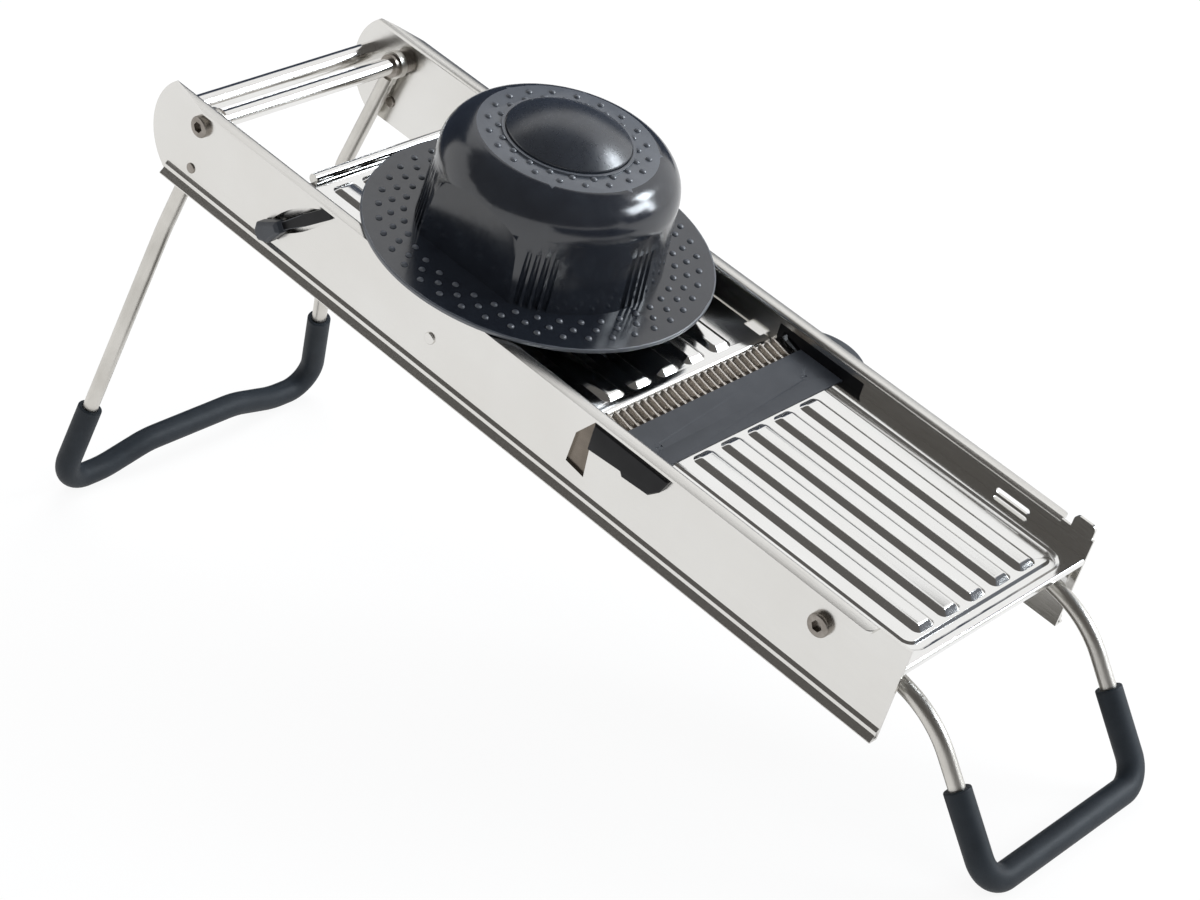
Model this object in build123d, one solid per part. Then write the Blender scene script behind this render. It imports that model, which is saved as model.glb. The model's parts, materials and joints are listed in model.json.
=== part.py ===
from build123d import *
import os
from math import cos, sin, tan, radians, hypot

# Manual vegetable slicer, in millimetres.
# The deck frame has X across (near side negative), Y from the low end up to the
# handle and Z square to the deck, with Z = 0 on top of the rails. Every piece is
# modelled there and then tilted and set down on its feet.

# Stance
deck_tilt = 17.0

# Side walls
inner_width = 115.25
wall_sheet = 1.2
lobe_top_y = 399.0
lobe_tip_y = 408.7
lobe_tip_z = -24.5
lobe_foot_y = 396.2
hem_start_z = -37.8
hem_upper_slope = 1.3
hem_face_height = 1.6
hem_lower_slope = 2.9
hem_rounding = 0.45
hem_slope_angle = 45.0
rail_width = 6.5
rail_flat = 3.2
rail_fall = 0.6
bend_radius = 2.0
near_rail_start_y = 15.0
far_rail_start_y = 15.5
rail_corner_radius = 3.0
rail_taper_y = 378.0
stop_tab_start_y = 1.0
stop_tab_length = 10.0
stop_tab_height = 6.0
stop_tab_corner = 2.5
sight_slot_y = 36.7
sight_slot_z = -7.0
sight_slot_length = 16.6
sight_slot_width = 2.6

# Handle
handle_y = 400.5
handle_z = -17.5
handle_radius = 4.2
handle_bore = 3.2

# Rear leg hinge
rear_pivot_y = 381.0
rear_pivot_z = -11.5
axle_radius = 3.7
rear_eye_radius = 6.2
rear_eye_thickness = 3.2
rear_wire_inset = 5.0
rear_spacer_radius = 5.2
rear_collar_thickness = 2.0
axle_screw_radius = 2.0
axle_screw_depth = 9.0
axle_screw_head_radius = 4.7
axle_screw_head_height = 2.4
detent_y = 382.5
detent_z = -33.3
detent_radius = 1.6
detent_outer_head_radius = 2.3
detent_outer_head_height = 0.6
detent_inner_head_radius = 2.6
detent_inner_head_height = 0.9
screw_head_rounding = 0.4
rivet_head_rounding = 0.7

# Rear leg
rear_wire_radius = 3.5
rear_bend_y = 397.0
rear_bend_z = -76.0
rear_foot_y = 406.4
rear_foot_half_span = 77.5
rear_foot_corner_radius = 13.0
rear_bend_radius = 40.0
rear_arch_height = 6.0
rear_flat_half_width = 52.0
rear_arch_half_width = 27.0
rear_arch_radius = 45.0
rear_sleeve_radius = 5.5
rear_sleeve_height = 44.0

# Front leg hinge
front_pivot_y = 37.0
front_pivot_z = -15.5
front_eye_radius = 5.0
front_eye_thickness = 3.0
front_wire_inset = 8.0
front_bolt_radius = 2.4
front_bolt_head_radius = 4.9
front_bolt_head_height = 2.8
front_spacer_radius = 4.6
front_nut_radius = 4.6
front_nut_height = 3.4
bolt_thread_end = 0.6
hex_socket_radius = 2.4
hex_socket_depth = 1.8
wire_start_gap = 0.7

# Front leg
front_wire_radius = 3.3
front_bend_y = -14.0
front_bend_z = -25.2
front_bend_radius = 44.0
front_foot_y = -59.2
front_foot_z = -73.3
front_foot_corner_radius = 11.0
front_sleeve_radius = 5.4
front_sleeve_height = 28.0

# Rubber sleeves
sole_flat = 0.4

# Landing plate
plate_sheet = 1.0
landing_z = -9.0
landing_end_y = 123.9
landing_lip_depth = 3.0
landing_lip_radius = 0.95
landing_flange_depth = 13.0
landing_flange_start_y = 3.0
landing_flange_end_y = 112.0

# Beads and groove pressed in both plates
bead_count = 5
bead_pitch = 16.2
bead_width = 12.2
bead_height = 1.6
bead_taper = 58.0
bead_corner_radius = 3.2
bead_crest_radius = 4.0
landing_bead_start_y = 9.4
landing_bead_end_y = 123.0
groove_width = 4.8
groove_depth = 0.6
groove_taper = 63.0
groove_half_span = 47.6
groove_start_y = 5.6
groove_radius = 8.5

# Feed plate
feed_z = -13.0
feed_start_y = 161.0
feed_end_y = 333.4
feed_side_gap = 0.6
feed_nose_radius = 2.0
feed_roll_radius = 2.4
feed_roll_half_length = 42.0
feed_bead_start_y = 166.0
feed_bead_end_y = 324.0
feed_notch_start_y = 165.0
feed_notch_end_y = 174.0
feed_notch_width = 2.6
feed_recess_clearance = 0.5
feed_recess_margin_y = 4.0
feed_slide_angle = 62.0

# Feed plate brackets
bracket_sheet = 1.5
bracket_inset = 7.0
bracket_flange = 8.0
bracket_start_y = 228.0
bracket_flange_end_y = 324.0
bracket_web_depth = 10.0
bracket_margin = 3.6

# Spreader rod
spreader_y = 240.5
spreader_z = -24.9
spreader_radius = 3.0
spreader_rivet_radius = 1.5
spreader_rivet_depth = 6.0
spreader_head_radius = 2.6
spreader_head_height = 0.9

# Thickness lever
lever_y = 330.9
lever_z = -30.3
lever_turn = 30.0
lever_shaft_radius = 2.5
lever_crank_radius = 7.5
lever_arm_angle = 137.4
lever_arm_length = 39.0
lever_arm_root = 8.0
lever_arm_root_width = 2.6
lever_arm_tip_width = 5.0
lever_arm_thickness = 2.0
lever_arm_tip_radius = 1.6
lever_arm_widest = 21.5
lever_hub_neck_half = 2.5
lever_hub_crown = (-1.5, 4.9)
lever_hub_corners = [(-6.6, 2.6), (-6.9, -1.6), (-3.8, -4.7)]
lever_gap = 0.6
lever_hub_height = 5.6
lever_hub_chamfer = 1.3
crank_thickness = 3.0
crank_width = 7.2
crank_gap = 0.5
crank_pin_radius = 1.5
crank_pin_overhang = 0.8
bush_wall = 0.5
bush_flange_radius = 4.4
bush_flange_thickness = 0.5
lever_nut_radius = 4.2
lever_nut_height = 2.4

# Lens-shaped recess pressed in the near wall behind the lever
recess_low_tip = (339.7, -37.4)
recess_high_tip = (299.5, -3.5)
recess_upper_bulge = 6.8
recess_lower_bulge = 5.0
recess_depth = 2.8
recess_sheet = 1.0

# Blade cassette
cassette_z = landing_z
cassette_bottom_z = -15.4
cassette_start_y = 124.3
cassette_edge_y = 147.0
cassette_heel_y = 148.5
cassette_near_plug = 1.2
cassette_tab_reach = 22.2
cassette_tab_start_y = 118.5
cassette_tab_end_y = 159.5
cassette_tab_thickness = 5.6
cassette_tab_rounding = 1.2
blade_edge_y = 157.5
blade_edge_z = -9.2
blade_heel_y = 132.0
blade_slope = 10.7
blade_sheet = 1.0
blade_bevel = 2.2
blade_end_gap = 0.7
comb_teeth = 26
comb_pitch = 4.0
tooth_thickness = 0.8
tooth_top_z = -7.1
tooth_front_y = 156.8
tooth_tip_length = 1.4
comb_strip_width = 2.2
comb_strip_thickness = 0.9
cassette_screw_x = 44.3
cassette_screw_y = 134.0
cassette_screw_radius = 1.1
cassette_screw_head_radius = 1.7
cassette_screw_head_height = 0.7
cassette_screw_length = 5.2
cassette_screw_slot = 0.6

# Plastic guides in the wall openings, and the crossbar under the cassette
guide_reach = 3.0
guide_fit = 0.05
guide_chamfer = 0.6
guide_flange = 0.45
guide_flange_margin = 1.5
guide_end_y = 153.6
guide_end_top_z = -4.8
guide_end_bottom_z = -17.3
near_opening_low_edge = [
    (114.7, -5.2), (117.5, -12.3), (121.9, -16.7), (135.4, -17.7), (136.7, -15.9), (140.2, -16.2),
]
near_opening_tail = [(154.4, -17.4), (153.2, -31.9), (163.0, -30.5), (162.2, -16.3), (153.9, -4.7)]
far_opening_top_z = -4.1
far_opening_bottom_z = -17.5
far_opening_start_y = 114.7
far_opening_margin = 2.8
far_opening_slope = 7.0
crossbar_gap = 0.15
crossbar_start_y = 126.0
crossbar_end_y = 145.0
crossbar_depth = 5.5

# Food pusher
pusher_y = 244.5
brim_radius = 73.2
brim_thickness = 1.9
brim_rounding = 0.6
rail_gap = 0.05
crown_foot_radius = 51.4
crown_side_radius = 49.3
crown_side_z = 32.0
crown_shoulder_radius = 46.2
crown_shoulder_z = 43.6
crown_top_radius = 37.0
crown_top_z = 50.0
crown_wall = 2.2
crown_inner_share = 0.4
crown_flat_x = 44.5
crown_flat_half_width = 25.0
crown_flat_side_z = 25.0
crown_flat_top_z = 37.0
runner_height = 1.5
runner_thickness = 1.6
runner_gap = 0.8
runner_half_length = 40.0
grip_angles = (-141.0, -90.0, -39.0, 39.0, 90.0, 141.0)
grip_grooves = 4
grip_groove_step = 4.2
grip_groove_radius = 1.3
grip_groove_centre = 50.5
grip_groove_top_z = 24.0
boss_radius = 9.5
boss_depth = 5.0

# Plunger in the pusher
stem_radius = 5.0
stem_gap = 0.08
knob_radius = 25.5
knob_lip_height = 1.6
knob_top_z = 60.3
knob_gap = 0.3
knob_ring_radius = 27.2
knob_ring_width = 1.3
knob_ring_height = 0.9
press_plate_radius = 38.0
press_plate_thickness = 2.5
press_plate_z = 10.0
pin_ring_radii = (14.0, 28.0)
pin_ring_counts = (6, 12)
pin_radius = 0.9
pin_length = 7.0
pin_point = 2.5
pin_tip_radius = 0.2
plunger_screw_radius = 2.0
plunger_screw_length = 9.0
plunger_screw_head_radius = 4.0
plunger_screw_head_height = 1.8

# Clearances
running_fit = 0.06
side_play = 0.1

# Values worked out from the sizes above
half_width = inner_width / 2
wall_outer = half_width + wall_sheet
hem_step_x = wall_outer + hem_upper_slope
hem_tip_x = hem_step_x + hem_lower_slope
hem_face_z = hem_start_z - hem_upper_slope
hem_z = hem_face_z - hem_face_height - hem_lower_slope
tilt = radians(deck_tilt)
slide_angle = radians(180 - feed_slide_angle)
slide_dir = (cos(slide_angle), sin(slide_angle))
slide_normal = (sin(slide_angle), -cos(slide_angle))
feed_travel = 2 * lever_crank_radius * sin(radians(lever_turn / 2))
crank_start_angle = 90.0 - feed_slide_angle - lever_turn / 2
floor_level = front_foot_y * sin(tilt) + front_foot_z * cos(tilt) - front_sleeve_radius
rear_foot_z = (floor_level + rear_sleeve_radius - rear_foot_y * sin(tilt)) / cos(tilt)
far_opening_end_y = tooth_front_y + far_opening_margin
bead_places = [(i - (bead_count - 1) / 2) * bead_pitch for i in range(bead_count)]
min_up = (Align.CENTER, Align.CENTER, Align.MIN)


def across(profile, start_x, end_x):
    """Carry a profile drawn in Y and Z across the deck from one X to another."""
    return extrude(Plane.YZ.offset(start_x) * profile, amount=end_x - start_x, dir=(1, 0, 0))


def raised(profile, bottom_z, top_z):
    """Carry a profile drawn in X and Y from one level up to another."""
    return extrude(Plane.XY.offset(bottom_z) * profile, amount=top_z - bottom_z, dir=(0, 0, 1))


def outline(points):
    return make_face(Polyline(*points, close=True))


def rod(y, z, radius, start_x, end_x):
    """A round bar lying across the deck."""
    return across(Pos(y, z) * Circle(radius), start_x, end_x)


def ring(y, z, radius, bore, start_x, end_x):
    return across(Pos(y, z) * (Circle(radius) - Circle(bore)), start_x, end_x)


def slab(start_x, end_x, start_y, end_y, start_z, end_z):
    return Pos(start_x, start_y, start_z) * Box(
        end_x - start_x, end_y - start_y, end_z - start_z, align=Align.MIN
    )


def far_and_near(piece):
    """The piece on the far side together with its mirror image on the near side."""
    return [piece, mirror(piece, about=Plane.YZ)]


def tube_along(path, radius):
    section = Plane(origin=path @ 0, z_dir=path % 0) * Circle(radius)
    return sweep(section, path=path)


def group(shapes):
    return Compound([solid for shape in shapes for solid in shape.solids()])


def heading(start, end):
    """The unit step in Y and Z from one point towards another."""
    length = hypot(end[0] - start[0], end[1] - start[1])
    return (end[0] - start[0]) / length, (end[1] - start[1]) / length


def hem():
    """The wall's lower edge, flared outward in two slopes with a narrow upright face between
    them and then folded back under itself, so that it is hollow."""
    crease = wall_sheet * tan(radians(hem_slope_angle / 2))
    skin = make_face(Polyline(
        (half_width, hem_start_z),
        (wall_outer, hem_start_z),
        (hem_step_x, hem_face_z),
        (hem_step_x, hem_face_z - hem_face_height),
        (hem_tip_x, hem_z),
        (half_width, hem_z),
        close=True,
    ))
    skin = fillet(skin.vertices().sort_by(Axis.X)[-3:], hem_rounding)
    hollow = make_face(Polyline(
        (wall_outer, hem_start_z - wall_sheet - crease),
        (hem_step_x - wall_sheet, hem_face_z - crease),
        (hem_step_x - wall_sheet, hem_face_z - hem_face_height),
        (hem_tip_x - 2 * wall_sheet - crease, hem_z + wall_sheet),
        (wall_outer, hem_z + wall_sheet),
        close=True,
    ))
    return along_deck(skin - hollow, 0, lobe_foot_y)


def along_deck(section, start_y, end_y):
    """Extrude a section drawn in X and Z along the deck."""
    return Pos(0, start_y, 0) * extrude(Plane.XZ * section, amount=end_y - start_y, dir=(0, 1, 0))


def corner_left_by(radius, x, z):
    """The corner of a square at the given point, outside a circle that touches both sides."""
    square = Pos(x, z) * Rectangle(radius, radius, align=(Align.MIN, Align.MAX))
    return square - Pos(x + radius, z - radius) * Circle(radius)


def rail_section():
    """The rail's sheet in section: level beside the wall, then falling a little to its edge."""
    crease_x = half_width + rail_flat
    edge_x = half_width + rail_width
    return make_face(Polyline(
        (half_width, 0),
        (crease_x, 0),
        (edge_x, -rail_fall),
        (edge_x, -rail_fall - wall_sheet),
        (crease_x, -wall_sheet),
        (half_width, -wall_sheet),
        close=True,
    ))


def bare_wall(rail_start_y):
    """One far-side wall: sheet with a rounded upper end, an outward rail and a folded hem."""
    edge = Line((0, 0), (lobe_top_y, 0))
    edge += ThreePointArc((lobe_top_y, 0), (lobe_tip_y, lobe_tip_z), (lobe_foot_y, hem_z))
    edge += Polyline((lobe_foot_y, hem_z), (0, hem_z), (0, 0))
    wall = across(make_face(edge), half_width, wall_outer)
    wall += hem()
    rail = outline([
        (half_width, rail_start_y),
        (half_width + rail_width, rail_start_y),
        (half_width + rail_width, rail_taper_y),
        (wall_outer, lobe_top_y),
        (half_width, lobe_top_y),
    ])
    outer_corner = rail.vertices().sort_by_distance((half_width + rail_width, rail_start_y, 0))[0]
    rail = fillet(outer_corner, rail_corner_radius)
    wall += raised(rail, -rail_fall - wall_sheet, 0) & along_deck(rail_section(), 0, lobe_top_y)
    inside_bend = corner_left_by(bend_radius - wall_sheet, wall_outer, -wall_sheet)
    wall += along_deck(inside_bend, rail_start_y + rail_corner_radius, rail_taper_y)
    wall -= along_deck(corner_left_by(bend_radius, half_width, 0), rail_start_y, lobe_tip_y)
    wall -= rod(rear_pivot_y, rear_pivot_z, axle_screw_radius, half_width, wall_outer)
    wall -= rod(detent_y, detent_z, detent_radius, half_width, wall_outer)
    wall -= rod(spreader_y, spreader_z, spreader_rivet_radius, half_width, wall_outer)
    wall -= rod(front_pivot_y, front_pivot_z, front_bolt_radius, half_width, wall_outer)
    return wall


def far_opening():
    return outline([
        (far_opening_start_y, far_opening_top_z),
        (far_opening_end_y, far_opening_top_z),
        (far_opening_end_y, far_opening_bottom_z + far_opening_slope),
        (far_opening_end_y - far_opening_slope, far_opening_bottom_z),
        (far_opening_start_y + far_opening_slope, far_opening_bottom_z),
        (far_opening_start_y, far_opening_bottom_z + far_opening_slope),
    ])


def far_side_wall():
    wall = bare_wall(far_rail_start_y)
    tab = outline([
        (stop_tab_start_y, -wall_sheet),
        (stop_tab_start_y, stop_tab_height),
        (stop_tab_start_y + stop_tab_length, stop_tab_height),
        (stop_tab_start_y + stop_tab_length, -wall_sheet),
    ])
    tab = fillet(tab.vertices().sort_by(Axis.Y)[-2:], stop_tab_corner)
    wall += across(tab, half_width, wall_outer)
    slot = Pos(sight_slot_y, sight_slot_z) * SlotOverall(sight_slot_length, sight_slot_width)
    wall -= across(slot, half_width, wall_outer)
    wall -= across(far_opening(), half_width, wall_outer)
    wall -= rod(lever_y, lever_z, lever_shaft_radius + running_fit + bush_wall, half_width, wall_outer)
    return wall


def recess_face(shrink):
    """The lens: two arcs between its tips, drawn in from the edge by the given amount."""
    (low_y, low_z), (high_y, high_z) = recess_low_tip, recess_high_tip
    along = heading(recess_low_tip, recess_high_tip)
    up = (along[1], -along[0])
    mid = ((low_y + high_y) / 2, (low_z + high_z) / 2)

    def arc(bulge):
        via = (mid[0] + up[0] * bulge, mid[1] + up[1] * bulge)
        return ThreePointArc(recess_low_tip, via, recess_high_tip)

    lens = make_face(arc(recess_upper_bulge) + arc(-recess_lower_bulge))
    return offset(lens, amount=-shrink) if shrink else lens


def near_side_wall():
    wall = mirror(bare_wall(near_rail_start_y), about=Plane.YZ)
    floor_x = -half_width + recess_depth
    wall += across(recess_face(0), -wall_outer, floor_x)
    wall -= across(recess_face(recess_sheet), -wall_outer, floor_x - recess_sheet)
    opening = outline(near_opening_low_edge + near_opening_tail)
    wall -= across(opening, -wall_outer, -half_width)
    bush_hole = lever_shaft_radius + running_fit + bush_wall
    wall -= rod(lever_y, lever_z, bush_hole, -wall_outer, floor_x)
    return wall


def handle_bar():
    return ring(handle_y, handle_z, handle_radius, handle_bore, -half_width, half_width)


def rear_leg_axle():
    bar = rod(rear_pivot_y, rear_pivot_z, axle_radius, -half_width, half_width)
    thread = rod(rear_pivot_y, rear_pivot_z, axle_screw_radius, half_width - axle_screw_depth, half_width)
    for hole in far_and_near(thread):
        bar -= hole
    return bar


def socket_screw(y, z, shank_radius, shank_end_x, head_radius, head_height):
    """A far-side socket-head screw: its head seats on the wall, its shank runs inward."""
    screw = rod(y, z, shank_radius, shank_end_x, wall_outer)
    head = rod(y, z, head_radius, wall_outer, wall_outer + head_height)
    head = fillet(head.faces().sort_by(Axis.X)[-1].edges(), head_height * screw_head_rounding)
    socket = Pos(y, z) * RegularPolygon(hex_socket_radius, 6)
    top = wall_outer + head_height
    return screw + head - across(socket, top - hex_socket_depth, top)


def rear_axle_screws():
    end_x = half_width - axle_screw_depth
    screw = socket_screw(
        rear_pivot_y, rear_pivot_z, axle_screw_radius, end_x, axle_screw_head_radius, axle_screw_head_height
    )
    return group(far_and_near(screw))


def rear_eye_outer_x():
    return half_width - rear_wire_inset + rear_eye_thickness / 2


def rear_leg_spacers():
    """A spacer outside and a collar inside each eye of the rear leg."""
    eye_outer = rear_eye_outer_x()
    eye_inner = eye_outer - rear_eye_thickness
    collar_end = eye_inner - side_play
    spacer = ring(
        rear_pivot_y, rear_pivot_z, rear_spacer_radius, axle_radius, eye_outer + side_play, half_width
    )
    collar = ring(
        rear_pivot_y, rear_pivot_z, rear_spacer_radius, axle_radius,
        collar_end - rear_collar_thickness, collar_end
    )
    return group(far_and_near(spacer) + far_and_near(collar))


def leg_detent_rivets():
    rivet = rod(detent_y, detent_z, detent_radius, half_width, wall_outer)
    outer_end = wall_outer + detent_outer_head_height
    inner_end = half_width - detent_inner_head_height
    outer = rod(detent_y, detent_z, detent_outer_head_radius, wall_outer, outer_end)
    inner = rod(detent_y, detent_z, detent_inner_head_radius, inner_end, half_width)
    inner = fillet(inner.faces().sort_by(Axis.X)[0].edges(), detent_inner_head_height * rivet_head_rounding)
    outer = fillet(outer.faces().sort_by(Axis.X)[-1].edges(), detent_outer_head_height * rivet_head_rounding)
    return group(far_and_near(rivet + outer + inner))


def spreader_rod():
    bar = rod(spreader_y, spreader_z, spreader_radius, -half_width, half_width)
    start = half_width - spreader_rivet_depth
    for hole in far_and_near(rod(spreader_y, spreader_z, spreader_rivet_radius, start, half_width)):
        bar -= hole
    return bar


def spreader_rivets():
    start = half_width - spreader_rivet_depth
    rivet = rod(spreader_y, spreader_z, spreader_rivet_radius, start, wall_outer)
    head_end = wall_outer + spreader_head_height
    head = rod(spreader_y, spreader_z, spreader_head_radius, wall_outer, head_end)
    rim = head.faces().sort_by(Axis.X)[-1].edges()
    head = fillet(rim, spreader_head_height * rivet_head_rounding)
    return group(far_and_near(rivet + head))


def bead(start_y, end_y, level, shrink):
    """One raised bead with sloping flanks; its hollow underside is the same shape, smaller."""
    length = end_y - start_y - 2 * shrink
    plan = RectangleRounded(bead_width - 2 * shrink, length, bead_corner_radius)
    plan = Pos(0, (start_y + end_y) / 2, level) * plan
    solid = extrude(plan, amount=bead_height, dir=(0, 0, 1), taper=bead_taper)
    return fillet(solid.faces().sort_by(Axis.Z)[-1].edges(), bead_crest_radius)


def add_beads(plate, start_y, end_y, top_z):
    for x in bead_places:
        plate += Pos(x, 0, 0) * bead(start_y, end_y, top_z, 0)
    for x in bead_places:
        plate -= Pos(x, 0, 0) * bead(start_y, end_y, top_z - plate_sheet, plate_sheet / 2)
    return plate


def landing_plate():
    bottom = landing_z - plate_sheet
    section = outline([
        (0, landing_z),
        (0, landing_z - landing_lip_depth),
        (plate_sheet, landing_z - landing_lip_depth),
        (plate_sheet, bottom),
        (landing_end_y, bottom),
        (landing_end_y, landing_z),
    ])
    nose = section.vertices().sort_by_distance((0, landing_z, 0))[0]
    section = fillet(nose, landing_lip_radius)
    plate = across(section, -half_width, half_width)
    flange = slab(
        half_width - plate_sheet, half_width,
        landing_flange_start_y, landing_flange_end_y,
        bottom - landing_flange_depth, bottom
    )
    flange -= rod(front_pivot_y, front_pivot_z, front_bolt_radius, half_width - plate_sheet, half_width)
    for side in far_and_near(flange):
        plate += side
    groove_end_y = landing_end_y + groove_radius
    mid_y = (groove_start_y + groove_end_y) / 2
    span_y = groove_end_y - groove_start_y
    span_x = 2 * groove_half_span
    around = RectangleRounded(span_x + groove_width, span_y + groove_width, groove_radius)
    inside = RectangleRounded(span_x - groove_width, span_y - groove_width, groove_radius - groove_width)
    place = Pos(0, mid_y, landing_z)
    groove = extrude(place * around, amount=groove_depth, dir=(0, 0, -1), taper=groove_taper)
    groove -= extrude(place * inside, amount=groove_depth, dir=(0, 0, -1), taper=-groove_taper)
    plate -= groove
    return add_beads(plate, landing_bead_start_y, landing_bead_end_y, landing_z)


def front_eye_x():
    """Inner and outer face of the front leg's eye on the far side."""
    middle = half_width - front_wire_inset
    return middle - front_eye_thickness / 2, middle + front_eye_thickness / 2


def front_nut_x():
    eye_inner, _ = front_eye_x()
    return eye_inner - side_play - front_nut_height, eye_inner - side_play


def front_pivot_bolts():
    nut_start, _ = front_nut_x()
    bolt = socket_screw(
        front_pivot_y, front_pivot_z, front_bolt_radius, nut_start - bolt_thread_end,
        front_bolt_head_radius, front_bolt_head_height
    )
    return group(far_and_near(bolt))


def front_pivot_spacers():
    _, eye_outer = front_eye_x()
    spacer = ring(
        front_pivot_y, front_pivot_z, front_spacer_radius, front_bolt_radius,
        eye_outer + side_play, half_width - plate_sheet
    )
    return group(far_and_near(spacer))


def front_pivot_nuts():
    start, end = front_nut_x()
    face = RegularPolygon(front_nut_radius, 6) - Circle(front_bolt_radius)
    return group(far_and_near(across(Pos(front_pivot_y, front_pivot_z) * face, start, end)))


def blade_top_z(y):
    return blade_edge_z - (blade_edge_y - y) * tan(radians(blade_slope))


def blade_profile():
    edge = (blade_edge_y, blade_edge_z)
    bevel_y = blade_edge_y - blade_bevel
    heel_z = blade_top_z(blade_heel_y)
    return outline([
        edge,
        (bevel_y, blade_top_z(bevel_y) - blade_sheet),
        (blade_heel_y, heel_z - blade_sheet),
        (blade_heel_y, heel_z),
    ])


def slicing_blade():
    end_x = half_width - blade_end_gap
    blade = across(blade_profile(), -end_x, end_x)
    for side in (-1, 1):
        blade -= screw_hole(side * cassette_screw_x)
    return blade


def tooth_profile():
    return outline([
        (cassette_edge_y, blade_top_z(cassette_edge_y)),
        (tooth_front_y, blade_top_z(tooth_front_y)),
        (tooth_front_y, tooth_top_z),
        (tooth_front_y - tooth_tip_length, tooth_top_z),
        (cassette_edge_y, cassette_z),
    ])


def julienne_comb():
    """Fins standing on the blade, joined by a strip along the cassette's edge."""
    end_y = cassette_edge_y + comb_strip_width
    strip = outline([
        (cassette_edge_y, blade_top_z(cassette_edge_y)),
        (end_y, blade_top_z(end_y)),
        (end_y, blade_top_z(end_y) + comb_strip_thickness),
        (cassette_edge_y, blade_top_z(cassette_edge_y) + comb_strip_thickness),
    ])
    first_x = -(comb_teeth - 1) / 2 * comb_pitch
    reach = -first_x + comb_pitch / 2
    comb = across(strip, -reach, reach)
    for i in range(comb_teeth):
        middle = first_x + i * comb_pitch
        comb += across(tooth_profile(), middle - tooth_thickness / 2, middle + tooth_thickness / 2)
    return comb


def cassette_profile():
    return outline([
        (cassette_start_y, cassette_z),
        (cassette_edge_y, cassette_z),
        (cassette_edge_y, blade_top_z(cassette_edge_y)),
        (cassette_heel_y, blade_top_z(cassette_heel_y) - blade_sheet),
        (cassette_edge_y, cassette_bottom_z),
        (cassette_start_y, cassette_bottom_z),
    ])


def screw_hole(x):
    top = cassette_z - cassette_screw_head_height
    return Pos(x, cassette_screw_y, top - cassette_screw_length) * Cylinder(
        cassette_screw_radius, cassette_screw_length, align=min_up
    )


def screw_head_space(x):
    top = cassette_z - cassette_screw_head_height
    return Pos(x, cassette_screw_y, top) * Cylinder(
        cassette_screw_head_radius, cassette_screw_head_height, align=min_up
    )


def cassette_tab():
    """The grip outside the far wall, round in plan."""
    root_x = wall_outer + guide_reach + side_play
    tip_x = half_width + cassette_tab_reach
    mid_y = (cassette_tab_start_y + cassette_tab_end_y) / 2
    edge = Line((root_x, cassette_tab_end_y), (root_x, cassette_tab_start_y))
    edge += ThreePointArc(
        (root_x, cassette_tab_start_y), (tip_x, mid_y), (root_x, cassette_tab_end_y)
    )
    tab = raised(make_face(edge), cassette_z - cassette_tab_thickness, cassette_z)
    return fillet(tab.faces().sort_by(Axis.Z)[-1].edges().filter_by(GeomType.CIRCLE), cassette_tab_rounding)


def cassette_body():
    start_x = -half_width - cassette_near_plug
    end_x = wall_outer + guide_reach + side_play
    body = across(cassette_profile(), start_x, end_x)
    blade_space = half_width - blade_end_gap
    body -= across(blade_profile(), -blade_space, blade_space)
    body += cassette_tab()
    for side in (-1, 1):
        body -= screw_hole(side * cassette_screw_x)
        body -= screw_head_space(side * cassette_screw_x)
    return body


def cassette_screws():
    screws = []
    slot_z = cassette_z - cassette_screw_head_height / 2
    for side in (-1, 1):
        x = side * cassette_screw_x
        screw = screw_hole(x) + screw_head_space(x)
        screw -= slab(
            x - cassette_screw_head_radius, x + cassette_screw_head_radius,
            cassette_screw_y - cassette_screw_slot / 2, cassette_screw_y + cassette_screw_slot / 2,
            slot_z, cassette_z
        )
        screws.append(screw)
    return group(screws)


def near_cassette_guide():
    """The block in the near opening, with a blind socket for the cassette's end and a thin
    flange that closes the opening's tail from inside."""
    outer_x = -wall_outer - guide_reach
    end = [(guide_end_y, guide_end_bottom_z), (guide_end_y, guide_end_top_z)]
    edge = outline(near_opening_low_edge + end)
    block = across(offset(edge, amount=-guide_fit), outer_x, -half_width)
    block = chamfer(block.faces().sort_by(Axis.X)[0].edges(), guide_chamfer)
    socket_end = -half_width - cassette_near_plug - side_play
    block -= across(offset(cassette_profile(), amount=side_play), socket_end, -half_width)
    flange = offset(outline(near_opening_tail), amount=guide_flange_margin, kind=Kind.INTERSECTION)
    return block + across(flange, -half_width, -half_width + guide_flange)


def far_cassette_guide():
    """The liner of the far opening, with a window that the whole cassette slides through."""
    liner = across(offset(far_opening(), amount=-guide_fit), half_width, wall_outer + guide_reach)
    window = offset(cassette_profile(), amount=side_play) + offset(tooth_profile(), amount=side_play)
    window += offset(blade_profile(), amount=side_play)
    return liner - across(window, half_width, wall_outer + guide_reach)


def cassette_crossbar():
    """A folded channel between the walls that carries the cassette."""
    top = cassette_bottom_z - crossbar_gap
    end = half_width
    bar = slab(-end, end, crossbar_start_y, crossbar_end_y, top - plate_sheet, top)
    bar += slab(-end, end, crossbar_start_y, crossbar_start_y + plate_sheet, top - crossbar_depth, top)
    bar += slab(-end, end, crossbar_end_y - plate_sheet, crossbar_end_y, top - crossbar_depth, top)
    return bar


def lever_bushes():
    """Flanged plain bushes for the lever's shaft, one in each wall."""
    bore = lever_shaft_radius + running_fit
    near_face = -half_width + recess_depth
    near = ring(lever_y, lever_z, bore + bush_wall, bore, near_face - recess_sheet, near_face)
    near += ring(lever_y, lever_z, bush_flange_radius, bore, near_face, near_face + bush_flange_thickness)
    far = ring(lever_y, lever_z, bore + bush_wall, bore, half_width, wall_outer)
    far += ring(lever_y, lever_z, bush_flange_radius, bore, half_width - bush_flange_thickness, half_width)
    return group([near, far])


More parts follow.
